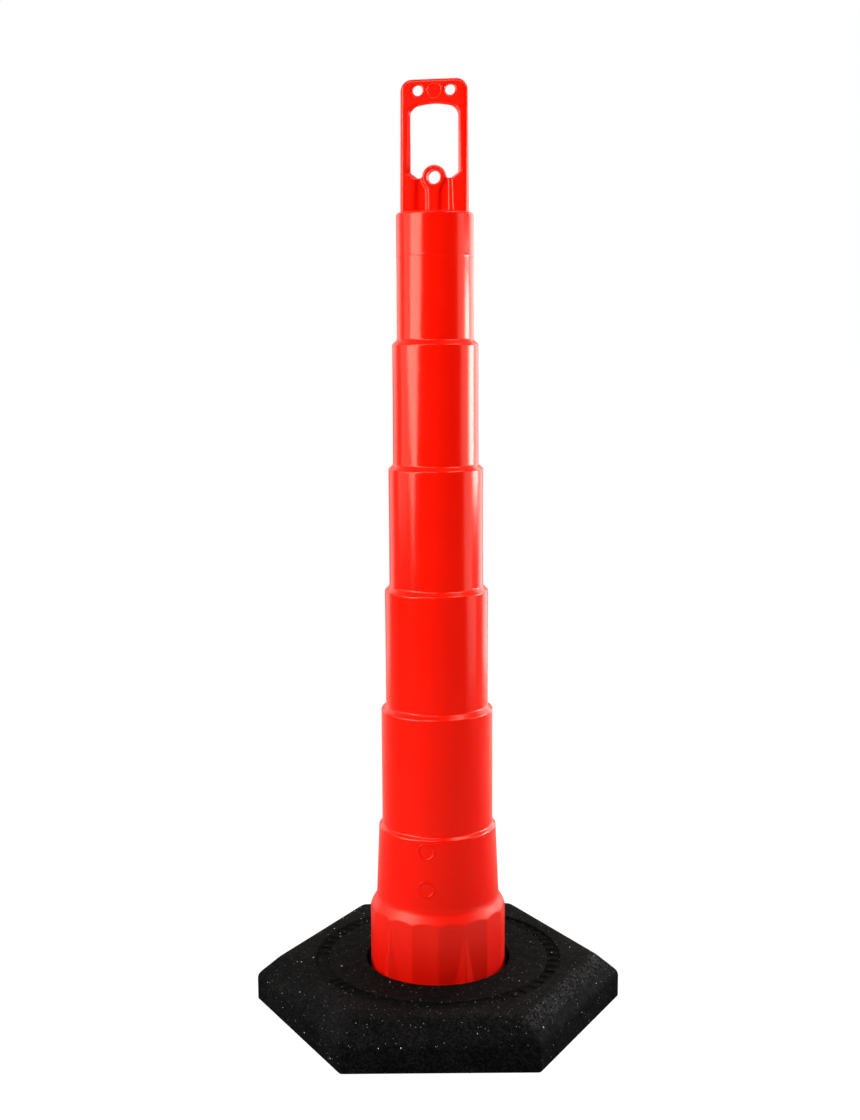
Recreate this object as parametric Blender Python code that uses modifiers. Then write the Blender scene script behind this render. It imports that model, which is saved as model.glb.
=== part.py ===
"""Delineator post: a hollow stepped plastic post with a grab handle, and its drop-over rubber base.

Units are metres, +Z is up. The origin is on the post's axis, on the ground. The hexagonal base has
a flat side towards -Y, and the post stands in it turned by POST_TURN about its own axis.
"""

import math

import bmesh
import bpy
from mathutils import Matrix

# ---------------------------------------------------------------- driving dimensions
HEIGHT = 1.143                      # ground to the top of the handle
POST_TURN = math.radians(-11.25)    # half a collar facet, about +Z
WALL = 0.003                        # wall of the hollow post
CEILING = 0.004                     # thickness of the post's closed top
ROUND_STEPS = 64                    # sides of a turned shape

# stepped round sections, the narrowest on top
TOP_SECTION_RADIUS = 0.0465
SECTION_GROWTH = 0.00578            # each section is this much larger in radius
TOP_STEP_Z = 0.8365                 # middle of the uppermost step
STEP_PITCH = 0.150                  # from one step to the next
STEP_COUNT = 4
STEP_RISE = 0.0056                  # height of the ramp at each step
SHOULDER_Z = 0.9885                 # flat top of the uppermost section
SHOULDER_BEVEL = 0.003

# lowest section, which widens downwards into the flared shoulder of the collar
SKIRT_TOP_Z = 0.234
SKIRT_RISE = 0.0040                 # height of the ramp above it
SKIRT_TOP_RADIUS = 0.0737
SKIRT_BOTTOM_Z = 0.143
SKIRT_BOTTOM_RADIUS = 0.0775

# faceted collar, its wedge lugs and the foot flange
COLLAR_TOP_Z = 0.128
COLLAR_RADIUS = 0.0856              # at the edges between facets
COLLAR_FACETS = 16
COLLAR_BLANK = 0.0004               # extra radius that the facets take off
FLANGE_RADIUS = 0.104
FLANGE_HEIGHT = 0.008
FACET_BOTTOM_Z = 0.009
LUG_ANGLES = (33.75, 146.25, 213.75, 326.25)    # degrees from the post's front, on facet edges
LUG_TOP_Z = 0.123
LUG_BOTTOM_Z = 0.028
LUG_BOTTOM_RADIUS = 0.0922
LUG_HALF_WIDTH = 0.023
LUG_FLANK_DEPTH = 0.01265           # from a lug's ridge in to its flanks' feet, at its bottom

# grab handle, a flat plate that grows thicker downwards
HANDLE_WIDTH = 0.0806
HANDLE_CORNER = 0.0138
HANDLE_TOP_THICKNESS = 0.008
HANDLE_FOOT_THICKNESS = 0.022
HANDLE_FOOT_Z = 0.9865              # the plate's foot, sunk into the shoulder
HANDLE_EDGE = 0.0020                # bevel along the plate's outline, front and back
OPENING_WIDTH = 0.0576              # finger opening at the plate's middle
OPENING_TOP_Z = 1.1146
OPENING_BOTTOM_Z = 1.0295
OPENING_CORNER = 0.012
OPENING_BEVEL_X = 0.0085            # sloping lower corners
OPENING_BEVEL_Z = 0.0080
OPENING_DRAFT = 0.50                # how far the opening's walls lean outwards, per unit of depth
BOSS_Z = 1.030
BOSS_RADIUS = 0.0143
BOSS_CHAMFER = 0.0020
BOSS_THICKNESS = 0.020
BOSS_HOLE_RADIUS = 0.0076
TOP_HOLE_Z = 1.130
TOP_HOLE_SPACING = 0.0388
TOP_HOLE_RADIUS = 0.0064
CHANNEL_MOUTH = (0.0050, 0.0249)    # channels in the web, at the plate's face, from the middle
CHANNEL_FLOOR = (0.0089, 0.0185)    # the same at their floor
CHANNEL_WEB = 0.0110                # plate thickness left between the channels
CHANNEL_BOTTOM_Z = 0.9905
CHANNEL_OVER = 0.004                # how far the channel cutters stand out of the plate

# rubber base
BASE_RADIUS = 0.2326                # centre to corner
BASE_HEIGHT = 0.0581
BASE_WALL_HEIGHT = 0.0335           # upright part of the sides
BASE_TOP_RADIUS = 0.2030            # centre to corner of the flat top
BASE_EDGE = 0.006                   # rounding of the edges above the wall
BASE_CORNER = 0.0025                # rounding of the upright corners
HOLE_TOP_RADIUS = 0.0909
HOLE_BOTTOM_RADIUS = 0.0945
POCKET_RADIUS = 0.1065              # counterbore under the base, over the foot flange
POCKET_HEIGHT = 0.0105
RING_INNER = 0.139                  # shallow ring recess in the top
RING_OUTER = 0.157
RING_DEPTH = 0.0025
RING_BAR_LENGTH = 0.0115
RING_BAR_WIDTH = 0.005
RING_BAR_HEIGHT = 0.0018
RING_BAR_ARCS = ((-62, 50, 17), (126, 178, 8), (206, 226, 4), (244, 262, 3))   # from, to, how many
CUT_SLACK = 0.020                   # how far a cutter stands out of what it cuts
SINK = 0.0008                       # how far a joined piece is sunk into its neighbour

SHARP_ANGLE = math.radians(35)      # edges steeper than this stay crisp in shading
OUTLINE_ANGLE = math.radians(60)    # edges steeper than this are beveled on the handle plate
HOLE_SIDES = 32
ORANGE = (1.0, 0.055, 0.008)
BLACK = (0.018, 0.018, 0.019)

PARTS_NAME = "delineator_post"
CUTTERS_NAME = "cutters"


# ---------------------------------------------------------------- scene, materials, helpers
def clear_scene():
    for old in list(bpy.data.objects):
        bpy.data.objects.remove(old, do_unlink=True)
    for old in list(bpy.data.collections):
        bpy.data.collections.remove(old)


def new_collection(name):
    collection = bpy.data.collections.new(name)
    bpy.context.scene.collection.children.link(collection)
    return collection


def new_material(name, color, roughness):
    material = bpy.data.materials.new(name)
    material.use_nodes = True
    shader = material.node_tree.nodes["Principled BSDF"]
    shader.inputs["Base Color"].default_value = (*color, 1.0)
    shader.inputs["Roughness"].default_value = roughness
    shader.inputs["Metallic"].default_value = 0.0
    material.diffuse_color = (*color, 1.0)
    return material


def object_from_bmesh(name, bm, collection):
    bmesh.ops.recalc_face_normals(bm, faces=bm.faces)
    mesh = bpy.data.meshes.new(name)
    bm.to_mesh(mesh)
    bm.free()
    made = bpy.data.objects.new(name, mesh)
    collection.objects.link(made)
    return made


def skin(bm, rings):
    """Close a solid over rings of vertices that follow one another."""
    for first, second in zip(rings, rings[1:]):
        for i in range(len(first)):
            j = (i + 1) % len(first)
            bm.faces.new((first[i], first[j], second[j], second[i]))
    bm.faces.new(rings[0])
    bm.faces.new(reversed(rings[-1]))


def as_cutter(made):
    made.hide_render = True
    made.display_type = "WIRE"
    return made


def bake(source, name, collection):
    """Turn an object with modifiers, or a curve, into a plain closed mesh object."""
    bpy.context.view_layer.update()
    graph = bpy.context.evaluated_depsgraph_get()
    mesh = bpy.data.meshes.new_from_object(source.evaluated_get(graph))
    mesh.transform(source.matrix_world)
    bpy.data.objects.remove(source, do_unlink=True)
    bm = bmesh.new()
    bm.from_mesh(mesh)
    bpy.data.meshes.remove(mesh)
    bmesh.ops.remove_doubles(bm, verts=bm.verts, dist=1e-6)
    return object_from_bmesh(name, bm, collection)


def turned(name, profile, collection):
    """A solid of revolution about +Z. The profile runs from the axis, down the outside, back to the axis."""
    mesh = bpy.data.meshes.new(name)
    points = [(radius, 0.0, z) for radius, z in profile]
    edges = [(i, i + 1) for i in range(len(points) - 1)]
    mesh.from_pydata(points, edges, [])
    blank = bpy.data.objects.new(name + "_blank", mesh)
    collection.objects.link(blank)
    screw = blank.modifiers.new("Turn", "SCREW")
    screw.angle = math.tau
    screw.steps = ROUND_STEPS
    screw.render_steps = ROUND_STEPS
    screw.use_merge_vertices = True
    screw.merge_threshold = 0.00001
    return bake(blank, name, collection)


def flat_plate(name, outline, half_thickness, collection):
    """A flat outline in X and Z, given thickness along Y."""
    curve = bpy.data.curves.new(name, "CURVE")
    curve.dimensions = "2D"
    curve.fill_mode = "BOTH"
    curve.extrude = half_thickness
    spline = curve.splines.new("POLY")
    spline.points.add(len(outline) - 1)
    for point, (x, z) in zip(spline.points, outline):
        point.co = (x, z, 0.0, 1.0)
    spline.use_cyclic_u = True
    blank = bpy.data.objects.new(name + "_blank", curve)
    blank.matrix_world = Matrix.Rotation(math.pi / 2, 4, "X")
    collection.objects.link(blank)
    return bake(blank, name, collection)


def cylinder_along_y(name, radius, depth, center, collection):
    bm = bmesh.new()
    bmesh.ops.create_cone(bm, cap_ends=True, segments=HOLE_SIDES, radius1=radius, radius2=radius, depth=depth)
    bm.transform(Matrix.Translation(center) @ Matrix.Rotation(math.pi / 2, 4, "X"))
    return object_from_bmesh(name, bm, collection)


def combine(body, other, operation):
    """Boolean body with other, by the EXACT solver, and apply it."""
    modifier = body.modifiers.new(operation.title(), "BOOLEAN")
    modifier.operation = operation
    modifier.solver = "EXACT"
    modifier.object = other
    name = body.name
    collection = body.users_collection[0]
    body.name = name + "_old"
    result = bake(body, name, collection)
    bpy.data.objects.remove(other, do_unlink=True)
    return result


def arc(center, radius, start, end, segments):
    """Points on an arc, with the angles in degrees."""
    points = []
    for i in range(segments + 1):
        angle = math.radians(start + (end - start) * i / segments)
        points.append((center[0] + radius * math.cos(angle), center[1] + radius * math.sin(angle)))
    return points


# ---------------------------------------------------------------- post
def section_radius(index):
    return TOP_SECTION_RADIUS + SECTION_GROWTH * index


def outer_profile():
    """Outside of the post from the axis at the top, down to the foot flange, and back to the axis."""
    points = [(0.0, SHOULDER_Z)]
    points.append((TOP_SECTION_RADIUS - SHOULDER_BEVEL, SHOULDER_Z))
    points.append((TOP_SECTION_RADIUS, SHOULDER_Z - SHOULDER_BEVEL))
    for i in range(STEP_COUNT):
        middle = TOP_STEP_Z - STEP_PITCH * i
        points.append((section_radius(i), middle + STEP_RISE / 2))
        points.append((section_radius(i + 1), middle - STEP_RISE / 2))
    points.append((section_radius(STEP_COUNT), SKIRT_TOP_Z + SKIRT_RISE))
    points.append((SKIRT_TOP_RADIUS, SKIRT_TOP_Z))
    points.append((SKIRT_BOTTOM_RADIUS, SKIRT_BOTTOM_Z))
    points.append((COLLAR_RADIUS + COLLAR_BLANK, COLLAR_TOP_Z))
    points.append((COLLAR_RADIUS + COLLAR_BLANK, FLANGE_HEIGHT))
    points.append((FLANGE_RADIUS, FLANGE_HEIGHT))
    points.append((FLANGE_RADIUS, 0.0))
    points.append((0.0, 0.0))
    return points


def hollow_profile():
    """Inside of the post, one wall smaller, open at the ground."""
    facet_distance = COLLAR_RADIUS * math.cos(math.pi / COLLAR_FACETS)
    bore = facet_distance - WALL
    points = [(0.0, SHOULDER_Z - CEILING)]
    points.append((TOP_SECTION_RADIUS - WALL, SHOULDER_Z - CEILING))
    for i in range(STEP_COUNT):
        middle = TOP_STEP_Z - STEP_PITCH * i - WALL / 2
        points.append((section_radius(i) - WALL, middle + STEP_RISE / 2))
        points.append((section_radius(i + 1) - WALL, middle - STEP_RISE / 2))
    points.append((section_radius(STEP_COUNT) - WALL, SKIRT_TOP_Z + SKIRT_RISE - WALL / 2))
    points.append((SKIRT_TOP_RADIUS - WALL, SKIRT_TOP_Z - WALL / 2))
    points.append((SKIRT_BOTTOM_RADIUS - WALL, SKIRT_BOTTOM_Z))
    points.append((bore, COLLAR_TOP_Z - WALL))
    points.append((bore, -CUT_SLACK))
    points.append((0.0, -CUT_SLACK))
    return points


def facet_cutter(collection):
    """A thick ring whose sixteen-sided hole leaves the collar's flat facets."""
    bm = bmesh.new()
    low = FACET_BOTTOM_Z
    high = SKIRT_BOTTOM_Z + WALL
    place = Matrix.Translation((0.0, 0.0, (low + high) / 2))
    bmesh.ops.create_cone(
        bm, cap_ends=True, segments=COLLAR_FACETS, radius1=FLANGE_RADIUS + CUT_SLACK,
        radius2=FLANGE_RADIUS + CUT_SLACK, depth=high - low, matrix=place)
    ring = object_from_bmesh("facet_ring", bm, collection)
    bm = bmesh.new()
    half_facet = Matrix.Rotation(math.pi / COLLAR_FACETS, 4, "Z")
    bmesh.ops.create_cone(
        bm, cap_ends=True, segments=COLLAR_FACETS, radius1=COLLAR_RADIUS, radius2=COLLAR_RADIUS,
        depth=high - low + CUT_SLACK, matrix=place @ half_facet)
    core = object_from_bmesh("facet_core", bm, collection)
    return as_cutter(combine(ring, core, "DIFFERENCE"))


def lug(angle, collection):
    """A wedge on one facet edge: a four-sided pyramid that leans so that its tip lies on the edge."""
    depth = LUG_TOP_Z - LUG_BOTTOM_Z
    root_radius = LUG_BOTTOM_RADIUS - LUG_FLANK_DEPTH
    tip_radius = COLLAR_RADIUS - SINK
    bm = bmesh.new()
    bmesh.ops.create_cone(
        bm, cap_ends=True, segments=4, radius1=1.0, radius2=0.0, depth=depth,
        matrix=Matrix.Translation((0.0, 0.0, LUG_BOTTOM_Z + depth / 2)))
    for vertex in bm.verts:
        rise = (vertex.co.z - LUG_BOTTOM_Z) / depth
        across = vertex.co.x * LUG_HALF_WIDTH
        outwards = -vertex.co.y * LUG_FLANK_DEPTH
        middle = root_radius + (tip_radius - root_radius) * rise
        vertex.co.x = across
        vertex.co.y = -(middle + outwards)
    bm.transform(Matrix.Rotation(math.radians(angle), 4, "Z"))
    return object_from_bmesh("lug", bm, collection)


def handle_outline():
    half = HANDLE_WIDTH / 2
    corner_z = HEIGHT - HANDLE_CORNER
    points = [(-half, HANDLE_FOOT_Z), (half, HANDLE_FOOT_Z)]
    points += arc((half - HANDLE_CORNER, corner_z), HANDLE_CORNER, 0, 90, 8)
    points += arc((HANDLE_CORNER - half, corner_z), HANDLE_CORNER, 90, 180, 8)
    return points


def opening_outline(grow):
    """The finger opening's outline, made larger all round by grow."""
    half = OPENING_WIDTH / 2 + grow
    top = OPENING_TOP_Z + grow
    bottom = OPENING_BOTTOM_Z - grow / 2
    corner = OPENING_CORNER
    points = [(half, bottom + OPENING_BEVEL_Z)]
    points += arc((half - corner, top - corner), corner, 0, 90, 8)
    points += arc((corner - half, top - corner), corner, 90, 180, 8)
    points.append((-half, bottom + OPENING_BEVEL_Z))
    points.append((OPENING_BEVEL_X - half, bottom))
    points.append((half - OPENING_BEVEL_X, bottom))
    return points


def opening_cutter(collection):
    """Narrowest at the plate's middle, with walls that lean outwards to both faces."""
    depth = HANDLE_FOOT_THICKNESS
    bm = bmesh.new()
    rings = []
    for y in (-depth, 0.0, depth):
        outline = opening_outline(abs(y) * OPENING_DRAFT)
        rings.append([bm.verts.new((x, y, z)) for x, z in outline])
    skin(bm, rings)
    return as_cutter(object_from_bmesh("opening_cutter", bm, collection))


def tapered_sides(collection):
    """A wedge that is thin at the handle's top and thick at its foot."""
    top = HEIGHT + CUT_SLACK
    foot = HANDLE_FOOT_Z - CUT_SLACK
    growth = (HANDLE_FOOT_THICKNESS - HANDLE_TOP_THICKNESS) / (HEIGHT - HANDLE_FOOT_Z)
    top_half = (HANDLE_TOP_THICKNESS - growth * CUT_SLACK) / 2
    foot_half = (HANDLE_FOOT_THICKNESS + growth * CUT_SLACK) / 2
    outline = [(-foot_half, foot), (foot_half, foot), (top_half, top), (-top_half, top)]
    wedge = flat_plate("handle_wedge", outline, HANDLE_WIDTH, collection)
    wedge.data.transform(Matrix.Rotation(math.pi / 2, 4, "Z"))
    return as_cutter(wedge)


def channel_cutters(collection):
    """Four recesses in the web, left and right of the rib on both faces, with sloping flanks."""
    face_y = HANDLE_FOOT_THICKNESS / 2
    floor_y = CHANNEL_WEB / 2
    inner_slope = (CHANNEL_FLOOR[0] - CHANNEL_MOUTH[0]) / (face_y - floor_y)
    outer_slope = (CHANNEL_MOUTH[1] - CHANNEL_FLOOR[1]) / (face_y - floor_y)
    outline = [
        (CHANNEL_FLOOR[0], floor_y),
        (CHANNEL_FLOOR[1], floor_y),
        (CHANNEL_MOUTH[1] + outer_slope * CHANNEL_OVER, face_y + CHANNEL_OVER),
        (CHANNEL_MOUTH[0] - inner_slope * CHANNEL_OVER, face_y + CHANNEL_OVER),
    ]
    high = OPENING_BOTTOM_Z + CHANNEL_OVER
    cutters = []
    for side in (-1, 1):
        for face in (-1, 1):
            bm = bmesh.new()
            rings = []
            for z in (CHANNEL_BOTTOM_Z, high):
                rings.append([bm.verts.new((side * x, face * y, z)) for x, y in outline])
            skin(bm, rings)
            cutters.append(as_cutter(object_from_bmesh("channel_cutter", bm, collection)))
    return cutters


def boss(collection):
    """The round boss under the finger opening, with a chamfered rim on both faces."""
    half = BOSS_THICKNESS / 2
    profile = [
        (0.0, half),
        (BOSS_RADIUS - BOSS_CHAMFER, half),
        (BOSS_RADIUS, half - BOSS_CHAMFER),
        (BOSS_RADIUS, BOSS_CHAMFER - half),
        (BOSS_RADIUS - BOSS_CHAMFER, -half),
        (0.0, -half),
    ]
    made = turned("boss", profile, collection)
    made.data.transform(Matrix.Translation((0.0, 0.0, BOSS_Z)) @ Matrix.Rotation(math.pi / 2, 4, "X"))
    return made


def make_handle(cutters):
    plate = flat_plate("handle", handle_outline(), HANDLE_FOOT_THICKNESS, cutters)
    plate = combine(plate, tapered_sides(cutters), "INTERSECT")
    edges = plate.modifiers.new("Outline edges", "BEVEL")
    edges.width = HANDLE_EDGE
    edges.segments = 2
    edges.limit_method = "ANGLE"
    edges.angle_limit = OUTLINE_ANGLE
    plate = combine(plate, opening_cutter(cutters), "DIFFERENCE")
    for cutter in channel_cutters(cutters):
        plate = combine(plate, cutter, "DIFFERENCE")
    plate = combine(plate, boss(cutters), "UNION")
    holes = [(0.0, BOSS_Z, BOSS_HOLE_RADIUS)]
    for side in (-1, 1):
        holes.append((side * TOP_HOLE_SPACING / 2, TOP_HOLE_Z, TOP_HOLE_RADIUS))
    for x, z, radius in holes:
        hole = cylinder_along_y("hole_cutter", radius, 4 * HANDLE_FOOT_THICKNESS, (x, 0.0, z), cutters)
        plate = combine(plate, as_cutter(hole), "DIFFERENCE")
    return plate


def make_post(parts, cutters, material):
    post = turned("post", outer_profile(), parts)
    post = combine(post, facet_cutter(cutters), "DIFFERENCE")
    for angle in LUG_ANGLES:
        post = combine(post, lug(angle, cutters), "UNION")
    post = combine(post, make_handle(cutters), "UNION")
    hollow = as_cutter(turned("hollow_cutter", hollow_profile(), cutters))
    post = combine(post, hollow, "DIFFERENCE")
    post.rotation_euler = (0.0, 0.0, POST_TURN)
    finish(post, material)


# ---------------------------------------------------------------- rubber base
def base_blank(collection):
    """Hexagonal slab with upright sides below and sloping sides above."""
    turn = Matrix.Rotation(math.pi / 6, 4, "Z")
    wall_middle = Matrix.Translation((0.0, 0.0, BASE_WALL_HEIGHT / 2))
    bm = bmesh.new()
    bmesh.ops.create_cone(
        bm, cap_ends=True, segments=6, radius1=BASE_RADIUS, radius2=BASE_RADIUS,
        depth=BASE_WALL_HEIGHT, matrix=wall_middle @ turn)
    upper = max(bm.faces, key=lambda face: face.calc_center_median().z)
    grown = bmesh.ops.extrude_face_region(bm, geom=[upper])
    raised = [item for item in grown["geom"] if isinstance(item, bmesh.types.BMVert)]
    bm.faces.remove(upper)
    shrink = BASE_TOP_RADIUS / BASE_RADIUS
    for vertex in raised:
        vertex.co.x *= shrink
        vertex.co.y *= shrink
        vertex.co.z = BASE_HEIGHT
    weights = bm.edges.layers.float.new("bevel_weight_edge")
    for edge in bm.edges:
        heights = [vertex.co.z for vertex in edge.verts]
        below_slope = max(heights) < BASE_WALL_HEIGHT + SINK
        if max(heights) - min(heights) > SINK and below_slope:
            edge[weights] = BASE_CORNER / BASE_EDGE
        elif min(heights) > SINK:
            edge[weights] = 1.0
    blank = object_from_bmesh("rubber_base_blank", bm, collection)
    bevel = blank.modifiers.new("Rounded edges", "BEVEL")
    bevel.width = BASE_EDGE
    bevel.segments = 3
    bevel.limit_method = "WEIGHT"
    return bake(blank, "rubber_base", collection)


def bore_profile():
    """The base's tapered hole with the counterbore over the foot flange."""
    return [
        (0.0, BASE_HEIGHT + CUT_SLACK),
        (HOLE_TOP_RADIUS, BASE_HEIGHT + CUT_SLACK),
        (HOLE_TOP_RADIUS, BASE_HEIGHT),
        (HOLE_BOTTOM_RADIUS, POCKET_HEIGHT),
        (POCKET_RADIUS, POCKET_HEIGHT),
        (POCKET_RADIUS, -CUT_SLACK),
        (0.0, -CUT_SLACK),
    ]


def ring_cutter(collection):
    """The shallow ring recess in the base's top."""
    floor = BASE_HEIGHT - RING_DEPTH
    top = BASE_HEIGHT + CUT_SLACK
    disc = turned("ring_disc", [(0.0, top), (RING_OUTER, top), (RING_OUTER, floor), (0.0, floor)], collection)
    low = floor - CUT_SLACK
    high = top + CUT_SLACK
    core = turned("ring_core", [(0.0, high), (RING_INNER, high), (RING_INNER, low), (0.0, low)], collection)
    return as_cutter(combine(disc, core, "DIFFERENCE"))


def ring_bars(collection):
    """Plain radial bars that stand on the ring recess's floor, all in one mesh."""
    middle = (RING_INNER + RING_OUTER) / 2
    floor = BASE_HEIGHT - RING_DEPTH
    size = (RING_BAR_LENGTH, RING_BAR_WIDTH, RING_BAR_HEIGHT + SINK, 1.0)
    place = Matrix.Translation((middle, 0.0, floor + (RING_BAR_HEIGHT - SINK) / 2))
    bm = bmesh.new()
    for start, end, count in RING_BAR_ARCS:
        for i in range(count):
            angle = math.radians(start + (end - start) * (i + 0.5) / count)
            turn = Matrix.Rotation(angle, 4, "Z")
            bmesh.ops.create_cube(bm, size=1.0, matrix=turn @ place @ Matrix.Diagonal(size))
    return object_from_bmesh("ring_bars", bm, collection)


def make_base(parts, cutters, material):
    base = base_blank(parts)
    base = combine(base, as_cutter(turned("bore_cutter", bore_profile(), cutters)), "DIFFERENCE")
    base = combine(base, ring_cutter(cutters), "DIFFERENCE")
    base = combine(base, ring_bars(cutters), "UNION")
    finish(base, material)


# ---------------------------------------------------------------- assembly
def finish(made, material):
    made.data.materials.clear()
    made.data.materials.append(material)
    made.data.shade_smooth()
    made.data.set_sharp_from_angle(angle=SHARP_ANGLE)


def main():
    clear_scene()
    parts = new_collection(PARTS_NAME)
    cutters = new_collection(CUTTERS_NAME)
    orange = new_material("orange_plastic", ORANGE, 0.38)
    rubber = new_material("crumb_rubber", BLACK, 0.85)
    make_post(parts, cutters, orange)
    make_base(parts, cutters, rubber)


main()
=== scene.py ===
"""Looks of the delineator post: fine meshes, plastic and crumb rubber, studio light and camera."""

import math

import bmesh
import bpy
import numpy as np
from mathutils import Matrix, Vector


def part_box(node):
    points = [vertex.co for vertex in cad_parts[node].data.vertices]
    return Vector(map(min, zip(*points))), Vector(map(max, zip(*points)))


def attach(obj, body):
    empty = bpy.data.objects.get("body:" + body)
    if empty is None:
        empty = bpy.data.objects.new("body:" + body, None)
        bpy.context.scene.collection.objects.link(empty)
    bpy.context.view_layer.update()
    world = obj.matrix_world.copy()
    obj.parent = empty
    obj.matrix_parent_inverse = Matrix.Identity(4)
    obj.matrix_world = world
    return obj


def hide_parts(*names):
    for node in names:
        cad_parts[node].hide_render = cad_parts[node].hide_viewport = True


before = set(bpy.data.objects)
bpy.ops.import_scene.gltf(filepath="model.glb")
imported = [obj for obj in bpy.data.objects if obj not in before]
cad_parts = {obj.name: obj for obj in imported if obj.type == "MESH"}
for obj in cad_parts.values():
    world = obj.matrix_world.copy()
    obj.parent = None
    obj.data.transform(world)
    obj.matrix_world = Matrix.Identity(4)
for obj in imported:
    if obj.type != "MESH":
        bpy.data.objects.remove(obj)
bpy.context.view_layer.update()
POST_LOW, POST_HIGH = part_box("post")
BASE_LOW, BASE_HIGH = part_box("rubber_base")

# ---------------------------------------------------------------- dimensions, metres
HEIGHT = POST_HIGH.z
POST_TURN = math.radians(-11.25)    # the post stands turned in the photo, the base doesn't
WALL = 0.003
WELD = 1e-6                         # corners closer than this become one
ROUND_SEGMENTS = 96                 # of bosses and holes

TOP_SECTION_RADIUS = 0.0465
SECTION_GROWTH = 0.00578            # in radius, from one section to the one below
TOP_STEP_Z = 0.8365
STEP_PITCH = 0.150
STEP_COUNT = 4
STEP_RISE = 0.0054
SECTION_WAIST = 0.00022             # sections draw in this much between their ends
SHOULDER_Z = 0.9885
SHOULDER_ROUND = 0.0034
SHOULDER_RADII = (0.012, 0.030)     # rings on the flat of the shoulder
CORNER_SOFTNESS = 0.0011            # the turned outline is averaged this far up and down
FLARE_SOFTNESS = 0.0034             # the same in the flare above the collar
SEAM_Z = 0.938                      # faint ring left by the mould on the top section
SEAM_RING_HEIGHT = 0.00024
SEAM_LINE_HEIGHT = 0.00012
SEAM_WIDTH = 0.0009
SEAM_MEAN_RADIUS = 0.06             # turns the line's angle into a distance

SKIRT_TOP_Z = 0.2340
SKIRT_RISE = 0.0038
SKIRT_TOP_RADIUS = 0.0737
SKIRT_BOTTOM_Z = 0.1428
SKIRT_BOTTOM_RADIUS = 0.0775
COLLAR_TOP_Z = 0.1282
COLLAR_RADIUS = 0.0856
COLLAR_FACETS = 16
COLLAR_COVER = 0.0004               # the turned outline stays this far outside the facets
COLLAR_FILLET = 0.002
FACET_BLEND = 0.0005
FLANGE_RADIUS = POST_HIGH.x - 0.0002
FLANGE_HEIGHT = 0.008
FLANGE_TOP_ROUND = 0.0015
FLANGE_FOOT_ROUND = 0.0010
CEILING_CORNER = 0.003
LUG_ANGLES = (33.75, 146.25, 213.75, 326.25)    # degrees from the post's front, on facet edges
LUG_TOP_Z = 0.124
LUG_BOTTOM_Z = 0.028
LUG_TIP_RADIUS = 0.0854
LUG_BOTTOM_RADIUS = 0.0926
LUG_HALF_WIDTH = 0.0250
LUG_FLANK_DROP = 0.0150             # from the ridge in to the flanks' feet, at the lower end
LUG_REACH = math.radians(25)        # no lug is wider than this on either side of its ridge
LUG_BLEND = 0.0004
MARK_HEIGHTS = (0.2210, 0.1736)     # round mould marks on the skirt's front
MARK_RADIUS = 0.0096
MARK_RING_HEIGHT = 0.00070
MARK_RING_WIDTH = 0.0010
MARK_DISH_DEPTH = 0.00030
MARK_DISH_EDGE = 0.0004

HANDLE_WIDTH = 0.0806
HANDLE_CORNER = 0.0138
HANDLE_TOP_THICKNESS = 0.0082
HANDLE_FOOT_THICKNESS = 0.0222
HANDLE_FOOT_Z = 0.9865
HANDLE_SINK = 0.004                 # the plate starts this far inside the shoulder
HANDLE_EDGE = 0.0036                # rounding of the plate's outline, front and back
HANDLE_VOXEL = 0.0006
HANDLE_SMOOTHINGS = 9
OPENING_WIDTH = 0.0576
OPENING_TOP_Z = 1.1146
OPENING_BOTTOM_Z = 1.0293
OPENING_CORNER = 0.0130
OPENING_ARCH = 0.0018               # rise of the opening's top edge at its middle
OPENING_BEVEL_X = 0.0085
OPENING_BEVEL_Z = 0.0062
OPENING_DRAFT = 0.50                # the opening grows by this much for each metre of depth
OPENING_HALF_FLAT = 0.0012          # half the plate's thickness that has no draft
BOSS_Z = 1.030
BOSS_RADIUS = 0.0143
BOSS_FACE_RADIUS = 0.0121
BOSS_HALF_THICKNESS = 0.0100
BOSS_NECK_INSET = 0.0004            # the rib's end stays this far below the boss's faces
BOSS_HOLE_RADIUS = 0.0076
BOSS_HOLE_FACE_RADIUS = 0.0090
TOP_HOLE_Z = 1.130
TOP_HOLE_SPACING = 0.0388
TOP_HOLE_RADIUS = 0.0060
TOP_HOLE_FACE_RADIUS = 0.0072
HANDLE_MARK_RADIUS = 0.0084
HANDLE_MARK_DEPTH = 0.00022
HANDLE_MARK_WIDTH = 0.0007
HANDLE_MARK_FACE = 0.003            # the groove is cut only further out than this, front and back
CHANNEL_FLOOR = (0.0089, 0.0185)    # near and far edge of a channel's floor, from the middle
CHANNEL_MOUTH = (0.0050, 0.0249)    # the same at the plate's face
CHANNEL_HALF_WEB = 0.0056
CUT_MARGIN = 0.010                  # how far cutters run past what they cut
RIB_OUTLINE = (                     # height and half width of the rib where it widens into the boss
    (1.0000, 0.0048), (1.0110, 0.0050), (1.0145, 0.0058), (1.0180, 0.0075), (1.0210, 0.0095),
    (1.0240, 0.0112), (1.0270, 0.0122), (1.0300, 0.0124))
CHANNEL_BOTTOM_Z = 0.9905

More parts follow.
